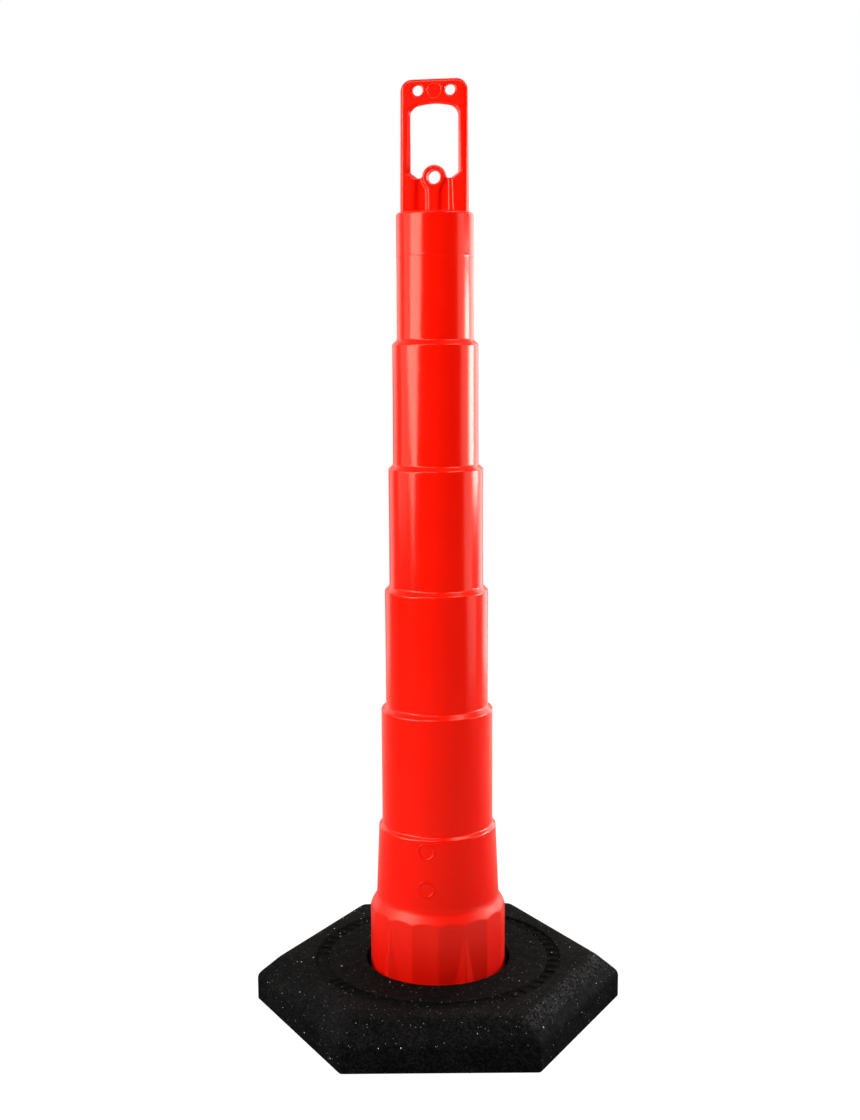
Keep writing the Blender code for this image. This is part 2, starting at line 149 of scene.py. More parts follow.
BASE_RADIUS = 0.2326
BASE_HEIGHT = BASE_HIGH.z
BASE_WALL_HEIGHT = 0.0335
BASE_TOP_RADIUS = 0.2030
BASE_COLUMNS = 720
BASE_FLAT_END = 0.162               # round up to here, then it turns into a hexagon
BASE_EDGE_ROUND = 0.0060
BASE_FOOT_BREAK = 0.0010
BASE_TOP_STEP = 0.0015
BASE_SLOPE_STEP = 0.0017
HEX_SHARP = 320.0                   # how square the hexagon's corners are on the wall
HEX_SOFT = 90.0                     # and at the top's edge
HOLE_TOP_RADIUS = 0.0909
HOLE_BOTTOM_RADIUS = 0.0945
HOLE_LIP = 0.0022
HOLE_ROWS = 24
POCKET_RADIUS = 0.1065
POCKET_HEIGHT = 0.0105
RING_INNER = 0.139
RING_OUTER = 0.157
RING_DEPTH = 0.0025
RING_EDGE = 0.0005                  # width of the ring's side walls
BAR_MARGIN = 0.0025                 # between a bar's end and the ring's side
BAR_EDGE = 0.0012
BAR_HEIGHT = 0.0023
BAR_FLANK_DEGREES = 0.75
BAR_HALF_FLANKS = 1.6               # half of a bar's foot, counted in widths of its flank
BAR_GROUPS = (                      # first and last bearing in degrees, and how many between them
    (-62, 50, 17), (126, 178, 8), (206, 226, 4), (244, 262, 3))


# ---------------------------------------------------------------- mesh helpers
def new_object(name, mesh):
    made = bpy.data.objects.new(name, mesh)
    bpy.context.scene.collection.objects.link(made)
    return made


def object_from_bmesh(name, bm):
    bmesh.ops.recalc_face_normals(bm, faces=bm.faces)
    mesh = bpy.data.meshes.new(name)
    bm.to_mesh(mesh)
    bm.free()
    return new_object(name, mesh)


def bake(source, name):
    """Replaces an object by a plain mesh object of its shape after its modifiers."""
    bpy.context.view_layer.update()
    graph = bpy.context.evaluated_depsgraph_get()
    mesh = bpy.data.meshes.new_from_object(source.evaluated_get(graph))
    mesh.transform(source.matrix_world)
    bpy.data.objects.remove(source, do_unlink=True)
    bm = bmesh.new()
    bm.from_mesh(mesh)
    bpy.data.meshes.remove(mesh)
    bmesh.ops.remove_doubles(bm, verts=bm.verts, dist=WELD)
    return object_from_bmesh(name, bm)


def combine(body, other, operation):
    """Joins, cuts or intersects two closed objects. The result takes the first one's name."""
    modifier = body.modifiers.new(operation.title(), "BOOLEAN")
    modifier.operation = operation
    modifier.solver = "EXACT"
    modifier.object = other
    name = body.name
    body.name = name + "_old"
    result = bake(body, name)
    bpy.data.objects.remove(other, do_unlink=True)
    return result


def lathe_points(rows, angles):
    """Rings of points round the Z axis, one for each row.

    A row is (radius, height), and each of them is one number or one for each angle. Angle 0 points
    to -Y and angles grow towards +X.
    """
    count = len(angles)
    sines = np.sin(angles)
    cosines = np.cos(angles)
    points = []
    for radii, heights in rows:
        radii = np.broadcast_to(radii, count)
        heights = np.broadcast_to(heights, count)
        points.append(np.stack([radii * sines, -radii * cosines, heights], axis=1))
    return points


def grid_mesh(name, points, loop):
    """A closed mesh of quads between neighbouring rings.

    With loop the last ring joins the first, otherwise a fan closes each end.
    """
    count = len(points[0])
    vertices = np.concatenate(points)
    faces = []
    ring_pairs = [(i, i + 1) for i in range(len(points) - 1)]
    if loop:
        ring_pairs.append((len(points) - 1, 0))
    steps = np.arange(count)
    following = (steps + 1) % count
    for upper, lower in ring_pairs:
        a = upper * count
        b = lower * count
        quads = np.stack([a + steps, b + steps, b + following, a + following], axis=1)
        faces.extend(quads.tolist())
    vertices = vertices.tolist()
    if not loop:
        for ring, flip in ((0, False), (len(points) - 1, True)):
            middle = np.mean(points[ring], axis=0).tolist()
            center = len(vertices)
            vertices.append(middle)
            for step in range(count):
                first = ring * count + step
                second = ring * count + (step + 1) % count
                faces.append((center, second, first) if flip else (center, first, second))
    mesh = bpy.data.meshes.new(name)
    mesh.from_pydata(vertices, [], faces)
    mesh.validate()
    return new_object(name, mesh)


def arc(center, radius, start, end, segments):
    """Points on an arc from one angle to another, both in degrees."""
    points = []
    for i in range(segments + 1):
        angle = math.radians(start + (end - start) * i / segments)
        points.append((
            center[0] + radius * math.cos(angle), center[1] + radius * math.sin(angle)))
    return points


def loft(name, rings):
    """A closed solid through rings of points, with a flat face at each end."""
    bm = bmesh.new()
    rings = [[bm.verts.new(point) for point in ring] for ring in rings]
    for first, second in zip(rings, rings[1:]):
        for i in range(len(first)):
            j = (i + 1) % len(first)
            bm.faces.new((first[i], first[j], second[j], second[i]))
    bm.faces.new(rings[0])
    bm.faces.new(reversed(rings[-1]))
    return object_from_bmesh(name, bm)


def prism(name, outline, low, high, axis):
    """A flat outline given thickness along Y (outline in X and Z) or Z (outline in X and Y)."""
    if axis == "Y":
        rings = [[(a, level, b) for a, b in outline] for level in (low, high)]
    else:
        rings = [[(a, b, level) for a, b in outline] for level in (low, high)]
    return loft(name, rings)


def spool(name, sections, center_x, center_z):
    """A round solid along Y through (center_x, center_z). Sections are (y, radius) pairs."""
    rings = []
    for y, radius in sections:
        ring = []
        for i in range(ROUND_SEGMENTS):
            angle = math.tau * i / ROUND_SEGMENTS
            ring.append((
                center_x + radius * math.cos(angle), y, center_z + radius * math.sin(angle)))
        rings.append(ring)
    return loft(name, rings)


# ---------------------------------------------------------------- post
def section_radius(index):
    """Radius of a section; 0 is the top one."""
    return TOP_SECTION_RADIUS + SECTION_GROWTH * index


def post_outline():
    """Corner points (z, radius) of the turned outside, from the shoulder down to the flange."""
    knots = [(SHOULDER_Z, TOP_SECTION_RADIUS)]
    for i in range(STEP_COUNT):
        middle = TOP_STEP_Z - STEP_PITCH * i
        above = knots[-1][0]
        knots.append(((above + middle) / 2, section_radius(i) - SECTION_WAIST))
        knots.append((middle + STEP_RISE / 2, section_radius(i)))
        knots.append((middle - STEP_RISE / 2, section_radius(i + 1)))
    last = section_radius(STEP_COUNT)
    knots.append((SKIRT_TOP_Z + SKIRT_RISE, last))
    knots.append((SKIRT_TOP_Z, SKIRT_TOP_RADIUS))
    knots.append((SKIRT_BOTTOM_Z, SKIRT_BOTTOM_RADIUS))
    knots.append((COLLAR_TOP_Z, COLLAR_RADIUS + COLLAR_COVER))
    knots.append((0.0, COLLAR_RADIUS + COLLAR_COVER))
    return knots


def turned_radius(z, rounding=CORNER_SOFTNESS):
    """Radius of the turned outside at height z, with its corners rounded by averaging."""
    knots = sorted(post_outline())
    heights = [knot[0] for knot in knots]
    radii = [knot[1] for knot in knots]
    shifts = np.linspace(-rounding, rounding, 9)
    return float(np.mean([np.interp(z + shift, heights, radii) for shift in shifts]))


def smooth_min(a, b, blend):
    """The smaller of two values, rounded over where they meet."""
    h = np.clip(0.5 + 0.5 * (b - a) / blend, 0.0, 1.0)
    return b + (a - b) * h - blend * h * (1.0 - h)


def facet_radius(angles):
    """Outer surface of the collar, a regular polygon with a flat to the front."""
    pitch = math.tau / COLLAR_FACETS
    from_middle = (angles + pitch / 2) % pitch - pitch / 2
    return COLLAR_RADIUS * math.cos(pitch / 2) / np.cos(from_middle)


def lug_radius(angles, z):
    """Outer surface of the four wedge lugs at height z, 0 where there is none."""
    result = np.zeros_like(angles)
    if not LUG_BOTTOM_Z <= z < LUG_TOP_Z:
        return result
    share = (LUG_TOP_Z - z) / (LUG_TOP_Z - LUG_BOTTOM_Z)
    ridge = LUG_TIP_RADIUS + (LUG_BOTTOM_RADIUS - LUG_TIP_RADIUS) * share
    half_width = LUG_HALF_WIDTH * share
    slope = LUG_FLANK_DROP * share / half_width
    for middle in LUG_ANGLES:
        offset = (angles - math.radians(middle) + math.pi) % math.tau - math.pi
        near = np.abs(offset) < LUG_REACH
        tangent = np.tan(np.where(near, np.abs(offset), 0.0))
        forward = ridge / (1.0 + slope * tangent)
        reach = np.sqrt(forward ** 2 * (1.0 + tangent ** 2))
        inside = near & (forward * tangent < half_width * 1.05)     # a little past the flank's foot
        result = np.where(inside, np.maximum(result, reach), result)
    return result


def mark_relief(angles, z, radius):
    """Height of the two mould marks on the skirt's front: a raised ring round a shallow dish."""
    relief = np.zeros_like(angles)
    offset = (angles + math.pi) % math.tau - math.pi
    for height in MARK_HEIGHTS:
        distance = np.hypot(offset * radius, z - height)
        ring = np.exp(-((distance - MARK_RADIUS) / MARK_RING_WIDTH) ** 2)
        dish = 1.0 / (1.0 + np.exp((distance - MARK_RADIUS) / MARK_DISH_EDGE))
        relief += MARK_RING_HEIGHT * ring - MARK_DISH_DEPTH * dish
    return relief


def seam_relief(angles, z):
    """Faint parting line down both sides and a ring on the top section."""
    offset = (angles + math.pi / 2) % math.pi
    offset = np.minimum(offset, math.pi - offset)
    line = SEAM_LINE_HEIGHT * np.exp(-(offset * SEAM_MEAN_RADIUS / SEAM_WIDTH) ** 2)
    ring = SEAM_RING_HEIGHT * math.exp(-((z - SEAM_Z) / SEAM_WIDTH) ** 2)
    return line + ring


def post_heights():
    """Heights of the rings down the outside: close together only where the shape turns."""
    heights = set()
    straight, bend, flare, lug, fine = 0.012, 0.0004, 0.0007, 0.0022, 0.0005    # spacings
    near_step, near_skirt, near_mark, near_seam = 0.0055, 0.003, 0.012, 0.002   # reaches
    closest = 0.00035

    def add(low, high, step):
        count = max(1, round((high - low) / step))
        for i in range(count + 1):
            heights.add(round(low + (high - low) * i / count, 5))

    add(FLANGE_HEIGHT + COLLAR_FILLET, SHOULDER_Z - SHOULDER_ROUND, straight)
    for i in range(STEP_COUNT):
        middle = TOP_STEP_Z - STEP_PITCH * i
        add(middle - near_step, middle + near_step, bend)
    add(SKIRT_TOP_Z - near_skirt, SKIRT_TOP_Z + SKIRT_RISE + near_skirt, bend)
    for height in MARK_HEIGHTS:
        add(height - near_mark, height + near_mark, fine)
    add(COLLAR_TOP_Z - 0.008, SKIRT_BOTTOM_Z + near_skirt, flare)
    add(LUG_BOTTOM_Z, COLLAR_TOP_Z, lug)
    add(SEAM_Z - near_seam, SEAM_Z + near_seam, fine)
    kept = []
    for height in sorted(heights, reverse=True):
        if not kept or kept[-1] - height > closest:
            kept.append(height)
    return kept


def post_angles():
    """Columns round the post. Facet edges and lug ridges have one, and the marks a closer set."""
    degrees = set()
    pitch = 1.125
    mark_pitch = 0.375
    mark_columns = 24                   # on either side of the front
    for i in range(round(360.0 / pitch)):
        degrees.add(round(i * pitch, 4))
    for i in range(-mark_columns, mark_columns + 1):
        degrees.add(round((i * mark_pitch) % 360.0, 4))
    return np.radians(sorted(degrees))


def outer_rings(angles):
    """Rows of the outside, from the middle of the shoulder down to the flange's lower edge."""
    flare_end = SKIRT_BOTTOM_Z + 0.012
    facets_end = SKIRT_BOTTOM_Z + 0.004
    marks_end = SKIRT_TOP_Z + 0.01
    rings = [(radius, SHOULDER_Z) for radius in SHOULDER_RADII]
    middle = (TOP_SECTION_RADIUS - SHOULDER_ROUND, SHOULDER_Z - SHOULDER_ROUND)
    rings += arc(middle, SHOULDER_ROUND, 90, 6, 8)
    for z in post_heights():
        softness = CORNER_SOFTNESS if z > flare_end else FLARE_SOFTNESS
        radius = np.full_like(angles, turned_radius(z, softness))
        if z < facets_end:
            radius = smooth_min(radius, facet_radius(angles), FACET_BLEND)
            lugs = lug_radius(angles, z)
            radius = np.where(lugs > 0.0, -smooth_min(-radius, -lugs, LUG_BLEND), radius)
        elif z < marks_end:
            radius = radius + mark_relief(angles, z, turned_radius(z))
        if z > facets_end:
            radius = radius + seam_relief(angles, z)
        rings.append((radius, z))
    collar = facet_radius(angles)
    waist = COLLAR_FILLET * 0.3         # middle of the hollow fillet between collar and flange
    rings.append((collar, FLANGE_HEIGHT + COLLAR_FILLET))
    rings.append((collar + waist, FLANGE_HEIGHT + waist))
    rings.append((collar + COLLAR_FILLET, FLANGE_HEIGHT))
    upper = (FLANGE_RADIUS - FLANGE_TOP_ROUND, FLANGE_HEIGHT - FLANGE_TOP_ROUND)
    rings += arc(upper, FLANGE_TOP_ROUND, 90, 0, 4)
    lower = (FLANGE_RADIUS - FLANGE_FOOT_ROUND, FLANGE_FOOT_ROUND)
    rings += arc(lower, FLANGE_FOOT_ROUND, 0, -90, 3)
    return rings


def inner_rings():
    """Rows of the hollow inside, from the ground up to its ceiling."""
    bore = COLLAR_RADIUS * math.cos(math.pi / COLLAR_FACETS) - WALL
    edge_break = 0.001
    softness = 0.003
    rings = [(bore + edge_break, 0.0), (bore, edge_break)]
    heights = [0.03, 0.06, 0.09, COLLAR_TOP_Z - 2 * WALL]
    for z in sorted(post_heights()):
        in_thinned_set = round(z * 2000) % 3 == 0       # the inside needs fewer rings
        if z > COLLAR_TOP_Z - WALL and in_thinned_set:
            heights.append(z)
    for z in heights:
        radius = min(turned_radius(z + WALL * 0.5, softness) - WALL, bore)
        if z < SHOULDER_Z - 3 * WALL:
            rings.append((radius, z))
    extra = 0.001                       # the shoulder is a little thicker than the wall
    ceiling = SHOULDER_Z - WALL - extra
    inside = TOP_SECTION_RADIUS - WALL
    corner = (inside - CEILING_CORNER, ceiling - CEILING_CORNER)
    rings += arc(corner, CEILING_CORNER, 0, 90, 4)
    rings.append((SHOULDER_RADII[0], ceiling))
    return rings


def make_shell():
    """The hollow turned body with its collar, lugs and flange."""
    angles = post_angles()
    rings = outer_rings(angles) + inner_rings()
    return grid_mesh("post_shell", lathe_points(rings, angles), loop=False)


# ---------------------------------------------------------------- handle
def handle_outline():
    """The plate's front view (x, z): a strip with two round top corners."""
    half = HANDLE_WIDTH / 2
    corner_z = HEIGHT - HANDLE_CORNER
    points = [(-half, HANDLE_FOOT_Z - HANDLE_SINK), (half, HANDLE_FOOT_Z - HANDLE_SINK)]
    points += arc((half - HANDLE_CORNER, corner_z), HANDLE_CORNER, 0, 90, 16)
    points += arc((HANDLE_CORNER - half, corner_z), HANDLE_CORNER, 90, 180, 16)
    return points


def opening_outline(grow):
    """The finger opening's front view (x, z), made larger by grow, least at its bottom."""
    half = OPENING_WIDTH / 2 + grow
    top = OPENING_TOP_Z + grow * 0.8
    bottom = OPENING_BOTTOM_Z - grow * 0.3
    corner = OPENING_CORNER
    points = [(half, bottom + OPENING_BEVEL_Z)]
    spring = top - OPENING_ARCH
    points += arc((half - corner, spring - corner), corner, 0, 84, 14)
    for share in (0.75, 0.5, 0.25, 0.0, -0.25, -0.5, -0.75):
        points.append(((half - corner) * share, top - OPENING_ARCH * share ** 2))
    points += arc((corner - half, spring - corner), corner, 96, 180, 14)
    points.append((-half, bottom + OPENING_BEVEL_Z))
    points.append((OPENING_BEVEL_X - half, bottom))
    points.append((half - OPENING_BEVEL_X, bottom))
    return points


def opening_cutter():
    """The finger opening as a solid that widens towards both faces of the plate."""
    depth = HANDLE_FOOT_THICKNESS
    flat = OPENING_HALF_FLAT
    rings = []
    for y, grow in ((-depth, depth), (-flat, 0.0), (flat, 0.0), (depth, depth)):
        outline = opening_outline(grow * OPENING_DRAFT)
        rings.append([(x, y, z) for x, z in outline])
    return loft("opening_cutter", rings)


def handle_half_thickness(z):
    """Half the plate's thickness at height z. The plate tapers from its foot to its top."""
    share = (HEIGHT - z) / (HEIGHT - HANDLE_FOOT_Z)
    return (HANDLE_TOP_THICKNESS + (HANDLE_FOOT_THICKNESS - HANDLE_TOP_THICKNESS) * share) / 2


def channel_cutter(side, face):
    """A recess with sloping flanks between the rib and a side rail."""
    surface = HANDLE_FOOT_THICKNESS / 2 + 0.0002    # just outside the plate's face
    slope = (CHANNEL_FLOOR[0] - CHANNEL_MOUTH[0]) / (surface - CHANNEL_HALF_WEB)
    outer_slope = (CHANNEL_MOUTH[1] - CHANNEL_FLOOR[1]) / (surface - CHANNEL_HALF_WEB)
    over = 0.004                        # how far the cutter stands out of the plate
    outline = [
        (side * CHANNEL_FLOOR[0], face * CHANNEL_HALF_WEB),
        (side * CHANNEL_FLOOR[1], face * CHANNEL_HALF_WEB),
        (side * (CHANNEL_MOUTH[1] + outer_slope * over), face * (surface + over)),
        (side * (CHANNEL_MOUTH[0] - slope * over), face * (surface + over)),
    ]
    top = OPENING_BOTTOM_Z + CUT_MARGIN
    return prism("channel_cutter", outline, CHANNEL_BOTTOM_Z, top, "Z")


def rib_neck():
    """The rib's upper end, which widens in an S-curve to the boss. Its flanks lean outwards."""
    face = BOSS_HALF_THICKNESS - BOSS_NECK_INSET
    depth = HANDLE_FOOT_THICKNESS / 2 - CHANNEL_HALF_WEB
    slope = (CHANNEL_FLOOR[0] - CHANNEL_MOUTH[0]) / depth
    rings = []
    for y in (-face, -CHANNEL_HALF_WEB, CHANNEL_HALF_WEB, face):
        grow = (face - abs(y)) * slope
        outline = [(-width - grow, z) for z, width in RIB_OUTLINE]
        outline += [(width + grow, z) for z, width in reversed(RIB_OUTLINE)]
        rings.append([(x, y, z) for x, z in outline])
    return loft("rib_neck", rings)


def cone_pair(name, near_radius, face_radius, half, center_x, center_z, flare=0.0):
    """A round solid that is near_radius at the middle and face_radius at both ends.

    A flare adds a straight piece at each end, for a cutter that runs out of the plate.
    """
    straight = half * 0.45              # the middle part that doesn't taper
    sections = [
        (-half - flare, face_radius), (-half, face_radius), (-straight, near_radius),
        (straight, near_radius), (half, face_radius), (half + flare, face_radius)]
    if flare == 0.0:
        sections = sections[1:-1]
    return spool(name, sections, center_x, center_z)


def make_handle():
    """The grab handle: a tapered plate, cut and joined piece by piece, then rounded."""
    plate = prism("handle", handle_outline(), -HANDLE_FOOT_THICKNESS, HANDLE_FOOT_THICKNESS, "Y")
    top = HEIGHT + CUT_MARGIN
    foot = HANDLE_FOOT_Z - CUT_MARGIN
    wedge_outline = [
        (-handle_half_thickness(foot), foot), (handle_half_thickness(foot), foot),
        (handle_half_thickness(top), top), (-handle_half_thickness(top), top)]
    wedge = prism("wedge", wedge_outline, -HANDLE_WIDTH, HANDLE_WIDTH, "Y")
    wedge.data.transform(Matrix.Rotation(math.pi / 2, 4, "Z"))
    plate = combine(plate, wedge, "INTERSECT")
    edges = plate.modifiers.new("Outline edges", "BEVEL")
    edges.width = HANDLE_EDGE
    edges.segments = 5
    edges.limit_method = "ANGLE"
    edges.angle_limit = math.radians(60)
    plate = combine(plate, opening_cutter(), "DIFFERENCE")
    for side in (-1, 1):
        for face in (-1, 1):
            plate = combine(plate, channel_cutter(side, face), "DIFFERENCE")
    plate = combine(plate, rib_neck(), "UNION")
    boss = cone_pair("boss", BOSS_RADIUS, BOSS_FACE_RADIUS, BOSS_HALF_THICKNESS, 0.0, BOSS_Z)
    plate = combine(plate, boss, "UNION")
    hole = cone_pair(
        "boss_hole", BOSS_HOLE_RADIUS, BOSS_HOLE_FACE_RADIUS, BOSS_HALF_THICKNESS, 0.0, BOSS_Z,
        flare=CUT_MARGIN)
    plate = combine(plate, hole, "DIFFERENCE")
    for side in (-1, 1):
        hole = cone_pair(
            "top_hole", TOP_HOLE_RADIUS, TOP_HOLE_FACE_RADIUS, handle_half_thickness(TOP_HOLE_Z),
            side * TOP_HOLE_SPACING / 2, TOP_HOLE_Z, flare=CUT_MARGIN)
        plate = combine(plate, hole, "DIFFERENCE")
    return round_off(plate)


def round_off(plate):
    """Rounds every edge as a moulding's are, by voxels and smoothing, and cuts the round mark."""
    remesh = plate.modifiers.new("Voxels", "REMESH")
    remesh.mode = "VOXEL"
    remesh.voxel_size = HANDLE_VOXEL
    remesh.adaptivity = 0.0
    smooth = plate.modifiers.new("Smooth", "SMOOTH")
    smooth.factor = 0.5
    smooth.iterations = HANDLE_SMOOTHINGS
    plate = bake(plate, "handle")
    for vertex in plate.data.vertices:
        distance = math.hypot(vertex.co.x, vertex.co.z - TOP_HOLE_Z)
        off_ring = (distance - HANDLE_MARK_RADIUS) / HANDLE_MARK_WIDTH
        groove = HANDLE_MARK_DEPTH * math.exp(-off_ring ** 2)
        if abs(vertex.co.y) > HANDLE_MARK_FACE:
            vertex.co.y -= math.copysign(groove, vertex.co.y)
    return plate


def make_post():
    """The whole moulding, turned the way it stands in the photo."""
    post = make_shell()
    post = combine(post, make_handle(), "UNION")
    post.name = "post_moulding"
    post.data.transform(Matrix.Rotation(POST_TURN, 4, "Z"))
    return post


# ---------------------------------------------------------------- rubber base
HEX_DIRECTIONS = [math.radians(30 + 60 * k) for k in range(6)]
APOTHEM = math.cos(math.radians(30))


def hexagon_reach(bearings, sharpness):
    """Distance from the axis to a rounded hexagon of apothem 1, along each bearing from +X."""
    total = np.zeros_like(bearings)
    for direction in HEX_DIRECTIONS:
        total += np.maximum(np.cos(bearings - direction), 0.0) ** sharpness
    return total ** (-1.0 / sharpness)


def rounded_path(points, radius, segments):
    """Points along a path with its inner corners rounded."""
    path = [Vector(points[0])]
    for before, corner, after in zip(points, points[1:], points[2:]):
        corner = Vector(corner)
        start = corner + (Vector(before) - corner).normalized() * radius
        end = corner + (Vector(after) - corner).normalized() * radius
        for i in range(segments + 1):
            t = i / segments
            path.append(start * (1 - t) ** 2 + corner * 2 * t * (1 - t) + end * t ** 2)
    path.append(Vector(points[-1]))
    return path


def subdivided(path, step):
    """The same path with points no further apart than step."""
    points = [path[0]]
    for first, second in zip(path, path[1:]):
        pieces = max(1, math.ceil((second - first).length / step))
        for i in range(pieces):
            points.append(first.lerp(second, (i + 1) / pieces))
    return points


def bar_mask(bearings_deg):
    """1 on the plain radial bars of the ring, 0 between them."""
    mask = np.zeros_like(bearings_deg)
    for start, end, count in BAR_GROUPS:
        for i in range(count):
            middle = start + (end - start) * (i + 0.5) / count
            offset = (bearings_deg - middle + 180.0) % 360.0 - 180.0
            bar = np.clip(BAR_HALF_FLANKS - np.abs(offset) / BAR_FLANK_DEGREES, 0.0, 1.0)
            mask = np.maximum(mask, bar)
    return mask


def base_top_rings(bearings):
    """Rows from the hole's lip over the flat top, with the ring and its bars."""
    rings = arc((HOLE_TOP_RADIUS + HOLE_LIP, BASE_HEIGHT - HOLE_LIP), HOLE_LIP, 180, 90, 5)
    first = HOLE_TOP_RADIUS + HOLE_LIP + BASE_TOP_STEP
    radii = list(np.arange(first, BASE_FLAT_END, BASE_TOP_STEP))
    ring_edges = [RING_INNER, RING_INNER + RING_EDGE, RING_OUTER - RING_EDGE, RING_OUTER]
    bar_start = RING_INNER + BAR_MARGIN
    bar_end = RING_OUTER - BAR_MARGIN
    bar_edges = [bar_start, bar_start + BAR_EDGE, bar_end - BAR_EDGE, bar_end]
    bars = bar_mask(np.degrees(bearings))
    for radius in sorted(radii + ring_edges):
        depth = np.interp(radius, ring_edges, [0, 1, 1, 0])
        rise = np.interp(radius, bar_edges, [0, 1, 1, 0])
        rings.append((radius, BASE_HEIGHT - RING_DEPTH * depth + BAR_HEIGHT * rise * bars * depth))
    return rings


def base_side_rings(sharp, soft):
    """Rows from the flat top over the slope and down the wall; round turns into a hexagon."""
    top = BASE_TOP_RADIUS * APOTHEM
    wall = BASE_RADIUS * APOTHEM
    corners = [
        (BASE_FLAT_END, BASE_HEIGHT), (top, BASE_HEIGHT), (wall, BASE_WALL_HEIGHT), (wall, 0.0)]
    path = subdivided(rounded_path(corners, BASE_EDGE_ROUND, 6), BASE_SLOPE_STEP)
    rings = []
    for point in path[1:-1]:
        share = min(1.0, (point.x - BASE_FLAT_END) / (top - BASE_FLAT_END))
        drop = (BASE_HEIGHT - point.y) / (BASE_HEIGHT - BASE_WALL_HEIGHT)
        wall_share = np.clip(drop, 0.0, 1.0)
        reach = soft * (1 - wall_share) + sharp * wall_share
        rings.append((point.x * (1.0 - share + share * reach), point.y))
    rings.append((wall * sharp, BASE_FOOT_BREAK))
    return rings


def base_under_rings(sharp):
    """Rows over the underside, up into the pocket and up the tapered hole."""
    outline = BASE_RADIUS * APOTHEM * sharp
    edge_break = 0.001
    rings = [(outline - inset, 0.0) for inset in (0.0012, 0.03, 0.07)]
    rings.append((POCKET_RADIUS + edge_break, 0.0))
    rings.append((POCKET_RADIUS, edge_break))
    rings.append((POCKET_RADIUS, POCKET_HEIGHT))
    rings.append((HOLE_BOTTOM_RADIUS + edge_break, POCKET_HEIGHT))
    for i in range(1, HOLE_ROWS):
        share = i / HOLE_ROWS
        radius = HOLE_BOTTOM_RADIUS + (HOLE_TOP_RADIUS - HOLE_BOTTOM_RADIUS) * share
        height = POCKET_HEIGHT + (BASE_HEIGHT - HOLE_LIP - POCKET_HEIGHT) * share
        rings.append((radius, height))
    return rings


def make_base():
    """The hexagonal rubber block, one closed loop of rows round its tapered hole."""
    angles = np.radians(np.arange(BASE_COLUMNS) * 360.0 / BASE_COLUMNS)
    bearings = angles - math.pi / 2
    sharp = hexagon_reach(bearings, HEX_SHARP)
    soft = hexagon_reach(bearings, HEX_SOFT)
    rings = base_top_rings(bearings) + base_side_rings(sharp, soft) + base_under_rings(sharp)
    base = grid_mesh("rubber_block", lathe_points(rings, angles), loop=True)
    bm = bmesh.new()
    bm.from_mesh(base.data)
    bmesh.ops.recalc_face_normals(bm, faces=bm.faces)
    bm.to_mesh(base.data)
    bm.free()
    return base


# ---------------------------------------------------------------- materials
class Nodes:
    """Short calls for building a material's node tree."""

    def __init__(self, name):
        self.material = bpy.data.materials.new(name)
        self.material.use_nodes = True
        self.tree = self.material.node_tree
        self.shader = self.tree.nodes["Principled BSDF"]
        self.position = self.add("ShaderNodeTexCoord").outputs["Object"]

    def add(self, kind, **settings):
        node = self.tree.nodes.new(kind)
        for key, value in settings.items():
            setattr(node, key, value)
        return node

    def put(self, socket, value):
        if isinstance(value, bpy.types.NodeSocket):
            self.tree.links.new(value, socket)
        else:
            socket.default_value = value

    def noise(self, scale, detail=3.0, roughness=0.55, vector=None):
        node = self.add("ShaderNodeTexNoise")
        self.put(node.inputs["Vector"], vector or self.position)
        node.inputs["Scale"].default_value = scale
        node.inputs["Detail"].default_value = detail
        node.inputs["Roughness"].default_value = roughness
        return node.outputs["Fac"]

    def cells(self, scale, vector=None):
        node = self.add("ShaderNodeTexVoronoi")
        self.put(node.inputs["Vector"], vector or self.position)
        node.inputs["Scale"].default_value = scale
        return node

    def math(self, operation, a, b=0.0):
        node = self.add("ShaderNodeMath", operation=operation)
        self.put(node.inputs[0], a)
        self.put(node.inputs[1], b)
        return node.outputs[0]

    def ramp(self, value, low, high, to_low=0.0, to_high=1.0):
        node = self.add("ShaderNodeMapRange")
        self.put(node.inputs["Value"], value)
        node.inputs["From Min"].default_value = low
        node.inputs["From Max"].default_value = high
        node.inputs["To Min"].default_value = to_low
        node.inputs["To Max"].default_value = to_high
        return node.outputs["Result"]

    def mix(self, factor, a, b):
        node = self.add("ShaderNodeMix", data_type="RGBA")
        self.put(node.inputs["Factor"], factor)
        self.put(node.inputs["A"], a)
        self.put(node.inputs["B"], b)
        return node.outputs["Result"]

    def stretched(self, x, y, z):
        node = self.add("ShaderNodeVectorMath", operation="MULTIPLY")
        self.put(node.inputs[0], self.position)
        node.inputs[1].default_value = (x, y, z)
        return node.outputs[0]

    def dot(self, direction):
        node = self.add("ShaderNodeVectorMath", operation="DOT_PRODUCT")
        self.put(node.inputs[0], self.position)
        node.inputs[1].default_value = direction
        return node.outputs["Value"]

    def square(self, axis):
        value = self.split(self.position)[axis]
        return self.math("MULTIPLY", value, value)

    def warped(self, scale, amount):
        """The position, shifted a little by a noise."""
        noise = self.add("ShaderNodeTexNoise")
        self.put(noise.inputs["Vector"], self.position)
        noise.inputs["Scale"].default_value = scale
        node = self.add("ShaderNodeVectorMath", operation="MULTIPLY_ADD")
        self.put(node.inputs[0], noise.outputs["Color"])
        node.inputs[1].default_value = (amount, amount, amount)
        self.put(node.inputs[2], self.position)
        return node.outputs[0]

    def split(self, vector):
        node = self.add("ShaderNodeSeparateXYZ")
        self.put(node.inputs[0], vector)
        return node.outputs

    def bump(self, height, strength, distance, normal=None):
        node = self.add("ShaderNodeBump")
        node.inputs["Strength"].default_value = strength
        node.inputs["Distance"].default_value = distance
        self.put(node.inputs["Height"], height)
        if normal is not None:
            self.put(node.inputs["Normal"], normal)
        return node.outputs["Normal"]


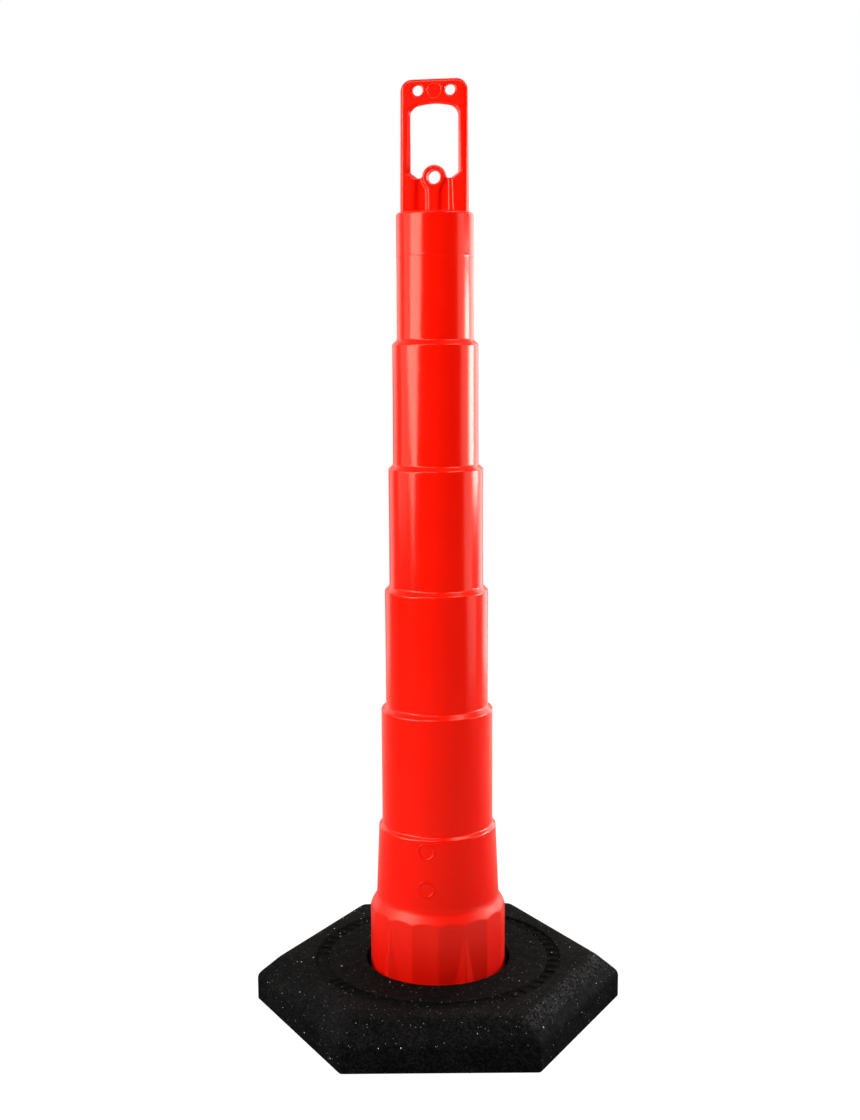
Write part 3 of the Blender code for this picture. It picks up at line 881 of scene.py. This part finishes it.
def plastic_material():
    """Satin orange moulding: faint clouds, a few chalky scuffs, a matte foot and a fine peel."""
    m = Nodes("orange_plastic_satin")
    clean = (0.93, 0.0056, 0.0002, 1.0)
    deep = (0.89, 0.0047, 0.0002, 1.0)
    chalky = (0.93, 0.022, 0.008, 1.0)
    cloud = m.noise(9.0, 4.0, 0.6)
    color = m.mix(m.ramp(cloud, 0.35, 0.70), deep, clean)
    scuff_field = m.noise(60.0, 5.0, 0.7, m.stretched(1.0, 1.0, 0.18))
    scuffs = m.ramp(scuff_field, 0.60, 0.82)
    scuff_patch = m.ramp(m.noise(4.0, 2.0), 0.50, 0.66)
    scuffs = m.math("MULTIPLY", scuffs, scuff_patch)
    color = m.mix(m.math("MULTIPLY", scuffs, 0.35), color, chalky)
    m.put(m.shader.inputs["Base Color"], color)
    rough = m.ramp(m.noise(24.0, 4.0, 0.6), 0.3, 0.7, 0.17, 0.21)
    matte_foot = m.ramp(m.split(m.position)[2], 0.150, 0.141, 0.0, 0.18)    # the collar
    rough = m.math("ADD", rough, matte_foot)
    m.put(m.shader.inputs["Roughness"], rough)
    m.shader.inputs["Specular IOR Level"].default_value = 0.40
    m.shader.inputs["Specular Tint"].default_value = (1.0, 0.84, 0.62, 1.0)
    m.shader.inputs["IOR"].default_value = 1.50
    peel = m.noise(420.0, 2.0, 0.5)
    ripple = m.noise(38.0, 2.0, 0.5, m.stretched(1.0, 1.0, 0.35))
    normal = m.bump(peel, 0.06, 0.0003)
    normal = m.bump(ripple, 0.06, 0.0012, normal)
    m.put(m.shader.inputs["Normal"], normal)
    return m.material


def rubber_material():
    """Moulded crumb: uneven grey granules, stray pale flecks, a paler patchy tone further out that
    leaves painted shade round the post, a scuffed edge.
    """
    m = Nodes("crumb_rubber_black")
    # granules
    grain = m.cells(560.0)
    shade = m.split(grain.outputs["Color"])[0]
    coarse = m.split(m.cells(330.0).outputs["Color"])[1]
    tone = m.math("ADD", m.math("MULTIPLY", shade, 0.70), m.math("MULTIPLY", coarse, 0.30))
    tone = m.ramp(tone, 0.30, 0.92)
    color = m.mix(tone, (0.0007, 0.0008, 0.0008, 1.0), (0.0044, 0.0052, 0.0053, 1.0))

    # paler, patchy tone from about half way out; the darker zone left round the post is painted
    # shade
    reach = m.math("SQRT", m.math("ADD", m.square(0), m.square(1)))
    pale_outside = m.ramp(reach, 0.128, 0.178)
    pale_outside = m.math("MULTIPLY", pale_outside, m.ramp(m.noise(22.0, 4.0, 0.65), 0.30, 0.70))
    pale_outside = m.math("MULTIPLY", pale_outside, 0.55)
    pale_outside_tone = m.mix(tone, (0.0045, 0.0048, 0.0049, 1.0), (0.0215, 0.0222, 0.0224, 1.0))
    color = m.mix(pale_outside, color, pale_outside_tone)

    # the worn edge, on the paler granules only
    scuffs = m.math("MULTIPLY", scuffed_edge(m), m.math("GREATER_THAN", shade, 0.52))
    color = m.mix(scuffs, color, (0.030, 0.0310, 0.0315, 1.0))

    # painted shade: the ring's floor, a little darker than its bars
    in_ring = m.math("MULTIPLY", m.ramp(reach, 0.1375, 0.1390), m.ramp(reach, 0.1585, 0.1570))
    low = m.ramp(m.split(m.position)[2], 0.0574, 0.0564)
    shadow = m.math("MULTIPLY", m.math("MULTIPLY", in_ring, low), 0.25)
    color = m.mix(shadow, color, (0.0, 0.0, 0.0, 1.0))

    # flecks: cells per metre, rarity, radius, colour
    uneven = m.warped(900.0, 0.0006)
    for scale, rarity, size, tint in (
            (210.0, 0.965, 0.00078, (0.55, 0.54, 0.52, 1.0)),
            (330.0, 0.955, 0.00060, (0.16, 0.16, 0.16, 1.0)),
            (520.0, 0.972, 0.00050, (0.30, 0.30, 0.30, 1.0)),
            (150.0, 0.984, 0.00095, (0.75, 0.73, 0.70, 1.0)),
            (190.0, 0.985, 0.00070, (0.10, 0.018, 0.012, 1.0))):
        flecks = m.cells(scale, uneven)
        rare = m.math("GREATER_THAN", m.split(flecks.outputs["Color"])[1], rarity)
        near = m.ramp(flecks.outputs["Distance"], size * scale, size * scale * 0.7)
        color = m.mix(m.math("MULTIPLY", rare, near), color, tint)
    m.put(m.shader.inputs["Base Color"], color)
    m.put(m.shader.inputs["Roughness"], m.ramp(m.noise(90.0, 2.0), 0.3, 0.7, 0.66, 0.84))
    m.shader.inputs["Specular IOR Level"].default_value = 0.04
    normal = m.bump(grain.outputs["Distance"], 0.45, 0.0010)
    normal = m.bump(m.noise(900.0, 3.0, 0.7), 0.25, 0.0005, normal)
    m.put(m.shader.inputs["Normal"], normal)
    return m.material


def scuffed_edge(m):
    """A worn band along the top of the front right slope, where the base has been dragged."""
    bearing = math.radians(30)
    across = m.dot((math.cos(bearing), -math.sin(bearing), 0.0))
    along = m.dot((math.sin(bearing), math.cos(bearing), 0.0))
    ragged = m.math("MULTIPLY", m.noise(45.0, 4.0, 0.7), 0.014)
    across = m.math("ADD", across, m.math("SUBTRACT", ragged, 0.007))
    band = m.math("MULTIPLY", m.ramp(across, 0.170, 0.176), m.ramp(across, 0.193, 0.184))
    ends = m.ramp(m.math("ABSOLUTE", along), 0.115, 0.100)
    patchy = m.ramp(m.noise(30.0, 3.0, 0.6), 0.30, 0.55, 0.25, 1.0)
    return m.math("MULTIPLY", m.math("MULTIPLY", band, ends), patchy)


# ---------------------------------------------------------------- studio
def add_camera():
    """The camera that was fitted to the photo's view."""
    data = bpy.data.cameras.new("camera")
    camera = bpy.data.objects.new("camera", data)
    bpy.context.scene.collection.objects.link(camera)
    data.sensor_width = 36.0
    data.lens = 47.10
    yaw = math.radians(0.318)
    pitch = math.radians(8.411)
    roll = math.radians(-0.300)
    camera.location = (-0.0176, -1.7892, 0.8350)
    look = Matrix.Rotation(-yaw, 4, "Z") @ Matrix.Rotation(math.pi / 2 - pitch, 4, "X")
    camera.rotation_euler = (look @ Matrix.Rotation(roll, 4, "Z")).to_euler()
    bpy.context.scene.camera = camera


def add_softbox(name, azimuth, distance, height, size, radiance, aim_height, lean=0.0):
    """An area light aimed at the axis. Azimuth 0 is the camera's side, positive is to the right."""
    data = bpy.data.lights.new(name, "AREA")
    data.shape = "RECTANGLE"
    data.size, data.size_y = size
    data.energy = radiance * math.pi * size[0] * size[1]
    light = bpy.data.objects.new(name, data)
    bpy.context.scene.collection.objects.link(light)
    angle = math.radians(azimuth)
    light.location = (distance * math.sin(angle), -distance * math.cos(angle), height)
    toward = Vector((0.0, 0.0, aim_height)) - light.location
    facing = toward.to_track_quat("-Z", "Y").to_matrix()
    light.rotation_euler = (facing @ Matrix.Rotation(math.radians(lean), 3, "Z")).to_euler()


def add_world():
    """White to the camera. For everything else, a room that is dark in front and pale behind."""
    world = bpy.data.worlds.new("studio")
    bpy.context.scene.world = world
    world.use_nodes = True
    tree = world.node_tree
    tree.nodes.clear()
    output = tree.nodes.new("ShaderNodeOutputWorld")
    mixer = tree.nodes.new("ShaderNodeMixShader")
    rays = tree.nodes.new("ShaderNodeLightPath")
    place = tree.nodes.new("ShaderNodeTexCoord")
    split = tree.nodes.new("ShaderNodeSeparateXYZ")
    fade = tree.nodes.new("ShaderNodeMapRange")
    fade.inputs["From Min"].default_value = -0.45
    fade.inputs["From Max"].default_value = 0.95
    fade.inputs["To Min"].default_value = 0.02
    fade.inputs["To Max"].default_value = 0.75
    room = tree.nodes.new("ShaderNodeBackground")
    white = tree.nodes.new("ShaderNodeBackground")
    white.inputs["Color"].default_value = (1.0, 1.0, 1.0, 1.0)
    tree.links.new(place.outputs["Generated"], split.inputs[0])
    tree.links.new(split.outputs["Y"], fade.inputs["Value"])
    room.inputs["Color"].default_value = (1.0, 0.91, 0.77, 1.0)
    tree.links.new(fade.outputs["Result"], room.inputs["Strength"])
    tree.links.new(rays.outputs["Is Camera Ray"], mixer.inputs["Fac"])
    tree.links.new(room.outputs["Background"], mixer.inputs[1])
    tree.links.new(white.outputs["Background"], mixer.inputs[2])
    tree.links.new(mixer.outputs["Shader"], output.inputs["Surface"])


def floor_material():
    """Pale paper, white to the camera. Reflections see it dim in front and bright behind."""
    m = Nodes("studio_floor")
    tree = m.tree
    rays = m.add("ShaderNodeLightPath")
    behind = m.ramp(m.split(m.position)[1], 0.0, 1.6)
    mirrored = m.mix(behind, (0.03, 0.03, 0.03, 1.0), (0.95, 0.87, 0.74, 1.0))
    paper = m.mix(rays.outputs["Is Glossy Ray"], (0.74, 0.74, 0.74, 1.0), mirrored)
    m.put(m.shader.inputs["Base Color"], paper)
    m.shader.inputs["Roughness"].default_value = 0.9
    m.shader.inputs["Specular IOR Level"].default_value = 0.1
    glow = m.add("ShaderNodeEmission")
    glow.inputs["Strength"].default_value = 1.10
    share = m.math("MULTIPLY", rays.outputs["Is Camera Ray"], 0.92)
    mixer = m.add("ShaderNodeMixShader")
    m.put(mixer.inputs[0], share)
    tree.links.new(m.shader.outputs[0], mixer.inputs[1])
    tree.links.new(glow.outputs[0], mixer.inputs[2])
    tree.links.new(mixer.outputs[0], tree.nodes["Material Output"].inputs["Surface"])
    return m.material


def add_floor():
    """A wide disc just below the base's underside."""
    bm = bmesh.new()
    bmesh.ops.create_circle(bm, cap_ends=True, segments=96, radius=40.0)
    floor = object_from_bmesh("floor", bm)
    floor.location.z = -0.0004
    floor.data.materials.append(floor_material())


def light_studio():
    """A key and a wash on the left, a rim and washes right and behind, two boxes from above."""
    add_softbox("key_left", -56, 1.5, 1.15, (0.80, 1.30), 8.2, 0.98, lean=-32.0)
    add_softbox("wash_left", -88, 1.7, 1.05, (0.9, 1.3), 1.5, 0.95)
    add_softbox("rim_right", 109, 1.5, 0.74, (0.58, 0.48), 16.0, 0.74)
    add_softbox("wash_right", 84, 1.9, 0.80, (0.9, 1.9), 1.8, 0.60)
    add_softbox("wash_back_right", 138, 1.9, 0.85, (1.0, 1.9), 2.2, 0.60)
    add_softbox("wash_back_left", -138, 1.9, 0.80, (0.9, 1.9), 0.9, 0.60)
    add_softbox("high_front", -24, 1.5, 2.45, (1.3, 0.8), 5.0, 0.7)
    add_softbox("high_right", 66, 1.4, 2.50, (1.3, 0.8), 5.2, 0.7)


# ---------------------------------------------------------------- assembly
def finish_piece(piece, material, body, node):
    piece.data.materials.clear()
    piece.data.materials.append(material)
    piece.data.shade_smooth()
    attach(piece, body)
    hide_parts(node)


add_camera()
add_world()
add_floor()
light_studio()
finish_piece(make_post(), plastic_material(), "post_body", "post")
finish_piece(make_base(), rubber_material(), "base_body", "rubber_base")
bpy.context.scene.view_settings.view_transform = "Standard"
